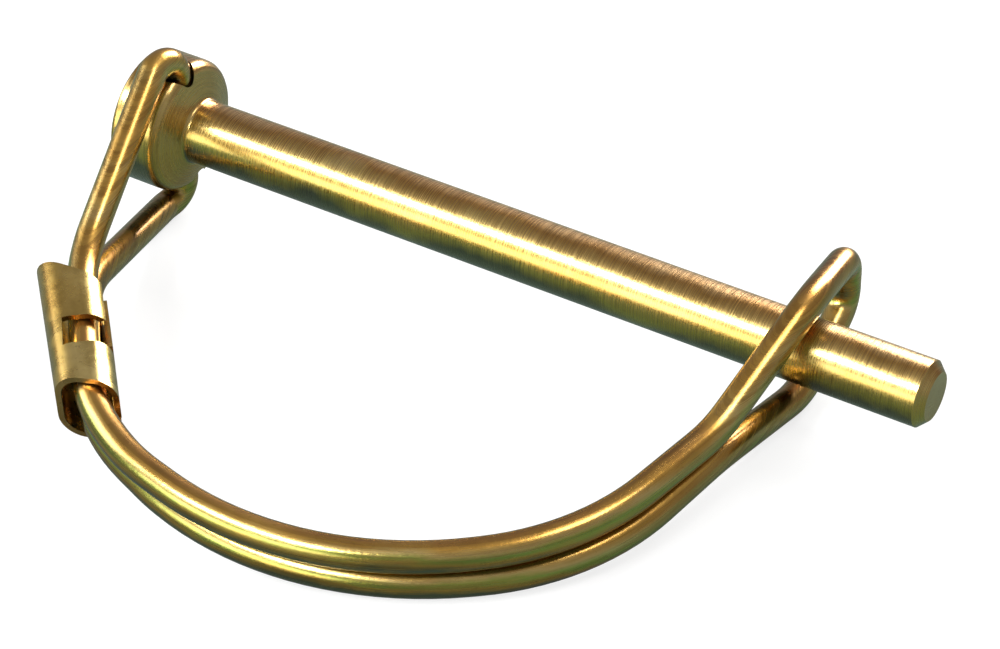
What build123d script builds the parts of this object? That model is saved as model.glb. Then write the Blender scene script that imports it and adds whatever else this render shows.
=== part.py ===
from build123d import *
from math import cos, radians, sin, sqrt, tan
import os

# Shaft locking pin with a round wire bail, in millimetres.
# The pin lies along X, with the start of its shank at the origin, its head on the -X side and its tip at +X.
# The bail swings about the cross-hole of the head, whose axis is parallel to Z.

# Pin
shank_diameter = 6.0
shank_length = 73.9
tip_chamfer = 0.8
head_diameter = 12.6
head_length = 5.9
head_shoulder = 1.2
head_back_edge = 0.4
head_front_edge = 1.2
head_root_radius = 0.45

# Cross-hole of the head and the wire ends in it
hole_from_root = 2.5
hole_slack = 0.45
wire_end_depth = 4.6
upper_eye_standoff = 0.35
lower_eye_standoff = 0.5
eye_radius = 2.1
eye_lean = -0.4
knee_side = 0.3
knee_drop = 2.9
knee_lean = -0.6
knee_radius = 1.8

# Bail wire
wire_diameter = 2.7
strand_gap = 0.1
leg_side = 2.2
leg_length = 21.6
leg_bend_radius = 14.0
waist_slope = -52.5
waist_bend_radius = 22.5
bow_entry_slope = -24.3
bow_entry_length = 8.9
bow_side_radius = 20.0
bow_side_lean = 2.2
bow_floor_slope = -15.0
bow_radius = 29.8
bow_lean = -0.8
bow_exit_slope = 37.2
rise_length = 16.4
rise_slope = 79.4
rise_bend_radius = 21.9
rise_lean = 0.8

# Loop that straddles the shank near its tip
crotch_from_head = 60.6
crotch_below_axis = 14.0
crotch_bend_radius = 14.0
crotch_lean = 0.1
loop_from_head = 61.7
loop_clearance = 0.93
crest_past_axis = 0.3
crest_bend_radius = 9.0
crest_lean = -0.4
loop_reach = 9.8
loop_end_from_head = 60.8
loop_end_half_width = 2.5
loop_end_radius = 2.2

# Folded sheet clip round both strands
clip_sheet = 0.5
clip_start = 1.0
clip_length = 17.4
clip_to_bow = 0.1
clip_slack = 0.15
clip_wide_end = 3.9
clip_narrow_end = 2.65
clip_head_slant = 3.7
clip_bow_slant = 1.8
clip_fold_radius = 2.2
window_start = 8.4
window_length = 3.4
window_side = 1.7
head_tab_level = 2.4
bow_tab_level = -0.6
back_lip_level = -1.9
finger_start = 4.0
finger_length = 6.0
finger_level = 0.9

# Sizes that follow from the ones above
shank_radius = shank_diameter / 2
head_radius = head_diameter / 2
wire_radius = wire_diameter / 2
strand_level = wire_radius + strand_gap / 2
hole_centre = -hole_from_root
wire_end_level = head_radius - wire_end_depth
upper_eye_level = head_radius + wire_radius + upper_eye_standoff
lower_eye_level = head_radius + wire_radius + lower_eye_standoff
crest_level = shank_radius + wire_radius + loop_clearance


def ahead(point, slope, distance):
    """The point of the bail's plane that lies this far from another along a slope in degrees."""
    return point[0] + distance * cos(radians(slope)), point[1] + distance * sin(radians(slope))


def meeting(point_a, slope_a, point_b, slope_b):
    """Where two lines of the bail's plane meet, each given by a point and a slope in degrees."""
    rise_a = tan(radians(slope_a))
    rise_b = tan(radians(slope_b))
    x = (point_b[1] - point_a[1] + rise_a * point_a[0] - rise_b * point_b[0]) / (rise_a - rise_b)
    return x, point_a[1] + (x - point_a[0]) * rise_a


# Corners of the bail in its own plane, from the legs round the bow to the loop
waist_top = (leg_side, -leg_length)
bow_in = ahead(waist_top, waist_slope, clip_start + clip_length + clip_to_bow)
bow_side = ahead(bow_in, bow_entry_slope, bow_entry_length)
crotch = (crotch_from_head, -crotch_below_axis)
bow_out = ahead(crotch, rise_slope, -rise_length)
bow_low = meeting(bow_side, bow_floor_slope, bow_out, bow_exit_slope)
crest = (loop_from_head, crest_past_axis)
loop_end = (loop_end_from_head, loop_reach)

# Bends of each strand: corner, distance from the bail's plane, shift of one strand against the other, radius
bends = [
    (waist_top, strand_level, 0, leg_bend_radius),
    (bow_in, strand_level, 0, waist_bend_radius),
    (bow_side, strand_level, bow_side_lean, bow_side_radius),
    (bow_low, strand_level, bow_lean, bow_radius),
    (bow_out, strand_level, rise_lean, rise_bend_radius),
    (crotch, strand_level, crotch_lean, crotch_bend_radius),
    (crest, crest_level, crest_lean, crest_bend_radius),
    (loop_end, loop_end_half_width, 0, loop_end_radius),
]


def strand(side, eye_level):
    """Corners of the upper (side 1) or lower (side -1) strand, from its end in the head to the loop's end."""
    eye_x = hole_centre - side * eye_lean / 2
    knee_x = hole_centre - knee_side - side * knee_lean / 2
    corners = [
        (eye_x, 0, side * wire_end_level),
        (eye_x, 0, side * eye_level),
        (knee_x, -knee_drop, side * eye_level),
    ]
    for (x, y), level, lean, radius in bends:
        corners.append((x - side * lean / 2, y, side * level))
    return corners


def fitted_radii(points, wanted):
    """Bend radii as wanted, cut back alike at both ends of a run that is too short for its two bends."""
    runs = [Vector(*b) - Vector(*a) for a, b in zip(points, points[1:])]
    spread = [tan(radians(a.get_angle(b)) / 2) for a, b in zip(runs, runs[1:])]
    needs = [0] + [radius * t for radius, t in zip(wanted, spread)] + [0]
    share = [min(1, 0.98 * run.length / (a + b)) for run, a, b in zip(runs, needs, needs[1:])]
    return [radius * min(a, b) for radius, a, b in zip(wanted, share, share[1:])]


def round_edges(piece):
    """Circular edges of a turned piece, in order along X."""
    return piece.edges().filter_by(GeomType.CIRCLE).sort_by(Axis.X)


strand_radii = [eye_radius, knee_radius] + [radius for corner, level, lean, radius in bends]
route = strand(1, upper_eye_level) + strand(-1, lower_eye_level)[::-1]
route_radii = fitted_radii(route, strand_radii + strand_radii[::-1])

with BuildPart() as pin:
    with BuildSketch(Plane.XY):
        with BuildLine():
            Polyline(
                (-head_length, 0),
                (-head_length, head_radius),
                (-head_shoulder, head_radius),
                (0, shank_radius),
                (shank_length, shank_radius),
                (shank_length, 0),
                close=True,
            )
        make_face()
    revolve(axis=Axis.X)
    # The last four round edges stay the head's back rim, its front rim, the root and the tip
    fillet(round_edges(pin)[-4], head_back_edge)
    fillet(round_edges(pin)[-3], head_front_edge)
    fillet(round_edges(pin)[-2], head_root_radius)
    chamfer(round_edges(pin)[-1], tip_chamfer)
    with BuildSketch(Plane.XY.offset(-head_radius)):
        with Locations((hole_centre, 0)):
            Circle(wire_radius + hole_slack)
    extrude(amount=head_diameter, mode=Mode.SUBTRACT)
pin.part.label = "pin"

with BuildPart() as bail_wire:
    with BuildLine() as wire_route:
        FilletPolyline(*route, radius=route_radii)
    with BuildSketch(Plane(origin=wire_route.line @ 0, z_dir=wire_route.line % 0)):
        Circle(wire_radius)
    sweep(path=wire_route.line)
bail_wire.part.label = "bail_wire"

# The clip's own frame: X runs along the strands, Y points away from the inside of the bow
along = Vector(cos(radians(waist_slope)), sin(radians(waist_slope)), 0)
outward = Vector(sin(radians(waist_slope)), -cos(radians(waist_slope)), 0)
clip_origin = Vector(*waist_top, 0) + along * clip_start
clip_plan = Plane(origin=clip_origin, x_dir=along, z_dir=(0, 0, -1))
clip_half_height = strand_level + wire_radius + clip_slack + clip_sheet
clip_inner_side = wire_radius + clip_slack + clip_sheet
clip_side = Plane(origin=clip_origin - outward * head_diameter, x_dir=along, z_dir=outward)
side_cut = head_diameter - wire_radius / 2
window_end = window_start + window_length
finger_end = finger_start + finger_length

# The strands already bend into the bow inside the clip, so its inner side leans out by as much
bend_in_clip = max(0, waist_bend_radius * tan(radians(bow_entry_slope - waist_slope) / 2) - clip_to_bow)
clip_skew = waist_bend_radius - sqrt(waist_bend_radius**2 - bend_in_clip**2)


def outwardness(edge):
    """How far an edge of the clip lies from the inside of the bow."""
    return (edge.center() - clip_origin).dot(outward)


with BuildPart() as clip:
    with BuildSketch(clip_plan.offset(-clip_half_height)):
        with BuildLine():
            Polyline(
                (clip_head_slant, -clip_inner_side),
                (clip_length, -clip_inner_side - clip_skew),
                (clip_length - clip_bow_slant, clip_narrow_end),
                (0, clip_wide_end),
                close=True,
            )
        make_face()
    extrude(amount=2 * clip_half_height)
    long_edges = clip.edges().sort_by(SortBy.LENGTH)[-4:].sort_by(outwardness)
    fillet(long_edges[2:], clip_fold_radius)
    fillet(long_edges[:2], clip_inner_side)
    ends = clip.faces().sort_by(lambda face: (face.center() - clip_origin).dot(along))
    offset(amount=-clip_sheet, openings=[ends[0], ends[-1]])
    with BuildSketch(clip_side):
        with BuildLine():
            Polyline(
                (-clip_length, back_lip_level),
                (finger_start, back_lip_level),
                (finger_start, finger_level),
                (finger_end, finger_level),
                (finger_end, back_lip_level),
                (2 * clip_length, back_lip_level),
                (2 * clip_length, bow_tab_level),
                (window_end, bow_tab_level),
                (window_end, head_tab_level),
                (-clip_length, head_tab_level),
                close=True,
            )
        make_face()
    extrude(amount=side_cut, mode=Mode.SUBTRACT)
    with BuildSketch(clip_side):
        with BuildLine():
            Polyline(
                (window_start, finger_level),
                (window_end, finger_level),
                (window_end, 2 * clip_half_height),
                (window_start, 2 * clip_half_height),
                close=True,
            )
        make_face()
    extrude(amount=head_diameter + window_side, mode=Mode.SUBTRACT)
clip.part.label = "clip"

os.makedirs("parts", exist_ok=True)
export_step(pin.part, "parts/pin.step")
export_step(bail_wire.part, "parts/bail_wire.step")
export_step(clip.part, "parts/clip.step")
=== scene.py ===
import bpy
from math import cos, radians, sin
from mathutils import Matrix, Vector

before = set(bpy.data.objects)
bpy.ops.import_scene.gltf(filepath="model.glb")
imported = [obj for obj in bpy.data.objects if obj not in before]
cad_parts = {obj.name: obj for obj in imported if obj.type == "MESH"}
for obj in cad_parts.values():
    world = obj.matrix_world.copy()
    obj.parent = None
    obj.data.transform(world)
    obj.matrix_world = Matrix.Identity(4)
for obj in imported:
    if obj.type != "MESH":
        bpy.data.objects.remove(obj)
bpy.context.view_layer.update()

# The view of the photograph, in metres, degrees and pixels of its own frame
IMAGE_WIDTH = 1000
FOCAL_PX = 3301.9
SENSOR_MM = 36.0
CAMERA_AT = Vector((0.1492, -0.1887, 0.1879))
AZIMUTH = 31.95
ELEVATION = 41.70
ROLL = -2.00
CLIP_START = 0.01
CLIP_END = 10

# The plane that the part lies on, through the lower eye, the loop and the bow
FLOOR_NORMAL = Vector((-0.05369, 0.11346, 0.99209))
FLOOR_DISTANCE = -0.0095632
FLOOR_HALF = 1.5

# Brightness of the floor: its own glow, and the grey that takes the part's shadow
FLOOR_GLOW = 0.80
FLOOR_SHADE = 0.25

# What the metal sees of the floor and the room, and the share of the white background that shows in it
FLOOR_SEEN_BY_METAL = (0.04, 0.09, 0.08)
ROOM_GREY = (0.88, 0.84, 0.78)
ROOM_STRENGTH = 0.17
WHITE_IN_METAL = 0.12

# The middle of the part, which the lamps face, and how far off they stand
PART_MIDDLE = Vector((0.035, -0.018, 0.0))
LAMP_DISTANCE = 0.6

# Each lamp's direction from the part, its width and height, and its power in watts
LAMPS = {
    "key": ((-0.33, -0.56, 0.74), (0.42, 0.10), 3.2),
    "front": ((-0.40, -0.90, 0.24), (0.60, 0.22), 1.3),
    "side": ((-0.90, -0.15, 0.40), (0.30, 0.34), 1.0),
    "top": ((0.35, 0.20, 0.90), (0.20, 0.16), 0.8),
    "back": ((0.02, 0.90, 0.36), (0.28, 0.40), 5.0),
}

# Colours of the passivated zinc; in the bands below, the dark teal is only painted shade and the straw is
# partly a painted highlight
SHADE_TEAL = (0.05, 0.13, 0.10)
BROWN = (0.44, 0.21, 0.06)
AMBER = (0.72, 0.41, 0.085)
GOLD = (0.72, 0.49, 0.12)
STRAW = (0.86, 0.66, 0.26)
OLIVE = (0.50, 0.46, 0.10)
LIME = (0.42, 0.56, 0.11)
ROSE = (0.70, 0.44, 0.24)
WHITE = (1.0, 1.0, 1.0)

# Bands of colour go round each surface by which way it faces. They are the film's own tints, with painted
# shade on the side facing down and towards -y and a lighter painted highlight band between, and the
# clouds of colour shift their edges
PAINTED_SHADE_SIDE = (0.0, -0.75, -0.66)
FILM_AND_SHADE_SHIFT = 1.2
FILM_AND_SHADE_SPREAD = (-0.4, 1.6)
FILM_AND_SHADE_SHARE = 0.8

# How strong the fine detail of every noise is
NOISE_ROUGHNESS = 0.6

# Clouds of colour
CLOUD_SCALE = 100.0
CLOUD_DETAIL = 5.0

# Lines left by the tool or the die, and marks on the sheet
LINE_SCALE = 60.0
LINE_DETAIL = 4.0
LINE_SPREAD = (0.32, 0.62)
LINE_SHARE = 0.8

# Small dark pits
PIT_SCALE = 2200.0
PIT_DETAIL = 2.0
PIT_SPREAD = (0.27, 0.36)
PIT_TONE = (0.30, 0.24, 0.14)
PIT_DEPTH = 0.000012

# Gloss of the metal, which is rougher where the lines are light, and of the clear film on it
METAL_ROUGHNESS = (0.20, 0.34)
ROUGHNESS_SPREAD = (0.3, 0.7)
COAT_WEIGHT = 0.45
COAT_ROUGHNESS = 0.16

# How far apart the nodes of a material are drawn in its editor
NODE_STEP = 200


def empty_tree(owner):
    """The node tree of a material or the world, with nothing in it."""
    owner.use_nodes = True
    owner.node_tree.nodes.clear()
    return owner.node_tree


def node(tree, kind, **values):
    """A new node, to the right of the ones before it."""
    made = tree.nodes.new(kind)
    made.location.x = NODE_STEP * len(tree.nodes)
    for name, value in values.items():
        setattr(made, name, value)
    return made


def ramp(tree, source, stops):
    """A colour ramp over a value, with stops of position and colour."""
    made = node(tree, "ShaderNodeValToRGB")
    elements = made.color_ramp.elements
    while len(elements) < len(stops):
        elements.new(0.5)
    for element, (position, colour) in zip(elements, stops):
        element.position = position
        element.color = (*colour, 1)
    tree.links.new(source, made.inputs["Fac"])
    return made.outputs["Color"]


def noise(tree, source, stretch, scale, detail):
    """A noise in the part's own frame, with its own scale along each axis."""
    mapping = node(tree, "ShaderNodeMapping")
    mapping.inputs["Scale"].default_value = stretch
    tree.links.new(source, mapping.inputs["Vector"])
    made = node(tree, "ShaderNodeTexNoise")
    made.inputs["Scale"].default_value = scale
    made.inputs["Detail"].default_value = detail
    made.inputs["Roughness"].default_value = NOISE_ROUGHNESS
    tree.links.new(mapping.outputs["Vector"], made.inputs["Vector"])
    return made.outputs["Fac"]


def blended(tree, first, second, share, blend_type="MIX"):
    """Two colours mixed, or multiplied, by the share of the second."""
    made = node(tree, "ShaderNodeMix", data_type="RGBA", blend_type=blend_type)
    made.inputs["Factor"].default_value = share
    tree.links.new(first, made.inputs["A"])
    tree.links.new(second, made.inputs["B"])
    return made.outputs["Result"]


def spread(tree, source, source_range, result_range=(0.0, 1.0)):
    """A value carried from one range to another, and held at its ends."""
    made = node(tree, "ShaderNodeMapRange")
    made.inputs["From Min"].default_value = source_range[0]
    made.inputs["From Max"].default_value = source_range[1]
    made.inputs["To Min"].default_value = result_range[0]
    made.inputs["To Max"].default_value = result_range[1]
    tree.links.new(source, made.inputs["Value"])
    return made.outputs["Result"]


def bump(tree, height, depth, under=None):
    """A relief of this depth in metres, on top of another if one is given."""
    made = node(tree, "ShaderNodeBump")
    made.inputs["Strength"].default_value = 1.0
    made.inputs["Distance"].default_value = depth
    tree.links.new(height, made.inputs["Height"])
    if under is not None:
        tree.links.new(under, made.inputs["Normal"])
    return made.outputs["Normal"]


def film_and_painted_shade(tree, normal, clouds, film_and_shade_bands):
    """Bands of colour by how far the surface faces down and towards -y: film tints with painted shade and
    a painted highlight, their edges shifted by the clouds.
    """
    facing = node(tree, "ShaderNodeVectorMath", operation="DOT_PRODUCT")
    facing.inputs[1].default_value = PAINTED_SHADE_SIDE
    tree.links.new(normal, facing.inputs[0])
    shifted = node(tree, "ShaderNodeMath", operation="MULTIPLY_ADD")
    shifted.inputs[1].default_value = FILM_AND_SHADE_SHIFT
    tree.links.new(clouds, shifted.inputs[0])
    tree.links.new(facing.outputs["Value"], shifted.inputs[2])
    return ramp(tree, spread(tree, shifted.outputs["Value"], FILM_AND_SHADE_SPREAD), film_and_shade_bands)


def zinc(name, film_and_shade_bands, patches, patch_stretch, line_stretch, line_depth, line_tone, pitting):
    """Yellow passivated zinc: bands of film tint with painted shade and highlight by which way the
    surface faces, patches of colour, fine lines and small pits.
    """
    material = bpy.data.materials.new(name)
    material.diffuse_color = (*GOLD, 1)
    tree = empty_tree(material)
    coordinates = node(tree, "ShaderNodeTexCoord")
    place = coordinates.outputs["Object"]

    clouds = noise(tree, place, patch_stretch, CLOUD_SCALE, CLOUD_DETAIL)
    patchy = ramp(tree, clouds, patches)
    film_and_shade = film_and_painted_shade(tree, coordinates.outputs["Normal"], clouds, film_and_shade_bands)
    colour = blended(tree, patchy, film_and_shade, FILM_AND_SHADE_SHARE)

    lines = noise(tree, place, line_stretch, LINE_SCALE, LINE_DETAIL)
    line_tones = ramp(tree, lines, [(LINE_SPREAD[0], line_tone), (LINE_SPREAD[1], WHITE)])
    colour = blended(tree, colour, line_tones, LINE_SHARE, "MULTIPLY")

    pits = noise(tree, place, (1, 1, 1), PIT_SCALE, PIT_DETAIL)
    pit_tones = ramp(tree, pits, [(PIT_SPREAD[0], PIT_TONE), (PIT_SPREAD[1], WHITE)])
    colour = blended(tree, colour, pit_tones, pitting, "MULTIPLY")

    metal = node(tree, "ShaderNodeBsdfPrincipled")
    metal.inputs["Metallic"].default_value = 1.0
    metal.inputs["Coat Weight"].default_value = COAT_WEIGHT
    metal.inputs["Coat Roughness"].default_value = COAT_ROUGHNESS
    tree.links.new(colour, metal.inputs["Base Color"])
    tree.links.new(spread(tree, lines, ROUGHNESS_SPREAD, METAL_ROUGHNESS), metal.inputs["Roughness"])
    relief = bump(tree, pits, PIT_DEPTH, under=bump(tree, lines, line_depth))
    tree.links.new(relief, metal.inputs["Normal"])

    out = node(tree, "ShaderNodeOutputMaterial")
    tree.links.new(metal.outputs["BSDF"], out.inputs["Surface"])
    return material


def dress(name, material):
    """Puts a material in every slot of a CAD node."""
    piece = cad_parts[name]
    if not piece.material_slots:
        piece.data.materials.append(material)
    for slot in piece.material_slots:
        slot.material = material


# The pin is turned, so its lines run round its axis
dress("pin", zinc(
    "turned_zinc",
    # Bands from the side facing up to the side facing down: film tints, a straw painted highlight in the
    # middle, and teal painted shade at the bottom
    film_and_shade_bands=[(0.05, ROSE), (0.20, BROWN), (0.46, STRAW), (0.68, GOLD), (0.84, OLIVE), (0.96, SHADE_TEAL)],
    patches=[(0.28, OLIVE), (0.42, GOLD), (0.52, AMBER), (0.62, GOLD), (0.76, ROSE)],
    patch_stretch=(1, 1, 1),
    line_stretch=(130, 1, 1),
    line_depth=0.000004,
    line_tone=(0.84, 0.79, 0.71),
    pitting=0.3,
))

# The bail is drawn wire that lies nearly level, so its lines are level too and follow it
dress("bail_wire", zinc(
    "drawn_zinc",
    # Bands from the side facing up to the side facing down: film tints, a straw painted highlight, and
    # teal painted shade at the bottom
    film_and_shade_bands=[(0.12, BROWN), (0.30, AMBER), (0.46, STRAW), (0.60, LIME), (0.76, AMBER), (0.92, SHADE_TEAL)],
    patches=[(0.26, LIME), (0.36, OLIVE), (0.46, AMBER), (0.60, GOLD), (0.72, ROSE)],
    patch_stretch=(1, 1, 4),
    line_stretch=(1, 1, 40),
    line_depth=0.000005,
    line_tone=(0.66, 0.56, 0.44),
    pitting=0.2,
))

# The clip is rolled sheet, with no clear direction to its marks
dress("clip", zinc(
    "sheet_zinc",
    # Bands from the side facing up to the side facing down: straw as painted light on top, darkening to
    # brown as painted shade underneath, with the film's tints
    film_and_shade_bands=[(0.08, STRAW), (0.30, GOLD), (0.60, AMBER), (0.90, BROWN)],
    patches=[(0.30, ROSE), (0.45, STRAW), (0.60, AMBER), (0.75, STRAW)],
    patch_stretch=(1, 1, 1),
    line_stretch=(6, 6, 6),
    line_depth=0.000010,
    line_tone=(0.78, 0.72, 0.62),
    pitting=0.4,
))


def white_to_camera(tree, dim, white, out):
    """Shows a white shader to the camera, a share of it in metal or glass, and a dim one for the rest."""
    rays = node(tree, "ShaderNodeLightPath")
    mirrored = node(tree, "ShaderNodeMath", operation="ADD")
    tree.links.new(rays.outputs["Is Glossy Ray"], mirrored.inputs[0])
    tree.links.new(rays.outputs["Is Transmission Ray"], mirrored.inputs[1])
    share = node(tree, "ShaderNodeMath", operation="MULTIPLY_ADD", use_clamp=True)
    share.inputs[1].default_value = WHITE_IN_METAL
    tree.links.new(mirrored.outputs["Value"], share.inputs[0])
    tree.links.new(rays.outputs["Is Camera Ray"], share.inputs[2])
    mix = node(tree, "ShaderNodeMixShader")
    tree.links.new(share.outputs["Value"], mix.inputs["Fac"])
    tree.links.new(dim, mix.inputs[1])
    tree.links.new(white, mix.inputs[2])
    tree.links.new(mix.outputs["Shader"], out.inputs["Surface"])


def paper():
    """The floor's material: a glow and a grey that takes shadows, which add up to white in the light."""
    material = bpy.data.materials.new("paper")
    tree = empty_tree(material)
    glow = node(tree, "ShaderNodeEmission")
    glow.inputs["Strength"].default_value = FLOOR_GLOW
    shade = node(tree, "ShaderNodeBsdfDiffuse")
    shade.inputs["Color"].default_value = (FLOOR_SHADE, FLOOR_SHADE, FLOOR_SHADE, 1)
    white = node(tree, "ShaderNodeAddShader")
    tree.links.new(glow.outputs["Emission"], white.inputs[0])
    tree.links.new(shade.outputs["BSDF"], white.inputs[1])
    dim = node(tree, "ShaderNodeBsdfDiffuse")
    dim.inputs["Color"].default_value = (*FLOOR_SEEN_BY_METAL, 1)
    out = node(tree, "ShaderNodeOutputMaterial")
    white_to_camera(tree, dim.outputs["BSDF"], white.outputs["Shader"], out)
    return material


def on_floor(x, y):
    """The point of the floor plane under x and y."""
    n = FLOOR_NORMAL.normalized()
    return Vector((x, y, (FLOOR_DISTANCE - n.x * x - n.y * y) / n.z))


floor_mesh = bpy.data.meshes.new("floor")
corners = [on_floor(x * FLOOR_HALF, y * FLOOR_HALF) for x, y in ((-1, -1), (1, -1), (1, 1), (-1, 1))]
floor_mesh.from_pydata([tuple(c) for c in corners], [], [(0, 1, 2, 3)])
floor_mesh.materials.append(paper())
floor = bpy.data.objects.new("floor", floor_mesh)
bpy.context.scene.collection.objects.link(floor)


def studio():
    """The world: a dim warm room, which the camera sees as white."""
    world = bpy.data.worlds.new("studio")
    tree = empty_tree(world)
    room = node(tree, "ShaderNodeBackground")
    room.inputs["Color"].default_value = (*ROOM_GREY, 1)
    room.inputs["Strength"].default_value = ROOM_STRENGTH
    white = node(tree, "ShaderNodeBackground")
    white.inputs["Color"].default_value = (*WHITE, 1)
    out = node(tree, "ShaderNodeOutputWorld")
    white_to_camera(tree, room.outputs["Background"], white.outputs["Background"], out)
    return world


bpy.context.scene.world = studio()


def softbox(name, towards, size, power):
    """A rectangular lamp that faces the part from a direction."""
    lamp = bpy.data.lights.new(name, "AREA")
    lamp.shape = "RECTANGLE"
    lamp.size, lamp.size_y = size
    lamp.energy = power
    made = bpy.data.objects.new(name, lamp)
    offset = Vector(towards).normalized() * LAMP_DISTANCE
    made.location = PART_MIDDLE + offset
    made.rotation_euler = (-offset).to_track_quat("-Z", "Y").to_euler()
    bpy.context.scene.collection.objects.link(made)


for name, (towards, size, power) in LAMPS.items():
    softbox(name, towards, size, power)


def photo_camera():
    """The camera, from the fitted view of the photograph."""
    a, e, r = radians(AZIMUTH), radians(ELEVATION), radians(ROLL)
    forward = Vector((-sin(a) * cos(e), cos(a) * cos(e), -sin(e)))
    level_right = Vector((cos(a), sin(a), 0))
    level_up = level_right.cross(forward)
    right = level_right * cos(r) + level_up * sin(r)
    up = right.cross(forward)
    lens = bpy.data.cameras.new("camera")
    lens.sensor_fit = "HORIZONTAL"
    lens.sensor_width = SENSOR_MM
    lens.lens = FOCAL_PX * SENSOR_MM / IMAGE_WIDTH
    lens.clip_start = CLIP_START
    lens.clip_end = CLIP_END
    made = bpy.data.objects.new("camera", lens)
    turn = Matrix((right, up, -forward)).transposed()
    made.matrix_world = Matrix.Translation(CAMERA_AT) @ turn.to_4x4()
    bpy.context.scene.collection.objects.link(made)
    return made


bpy.context.scene.camera = photo_camera()
bpy.context.scene.view_settings.view_transform = "Standard"
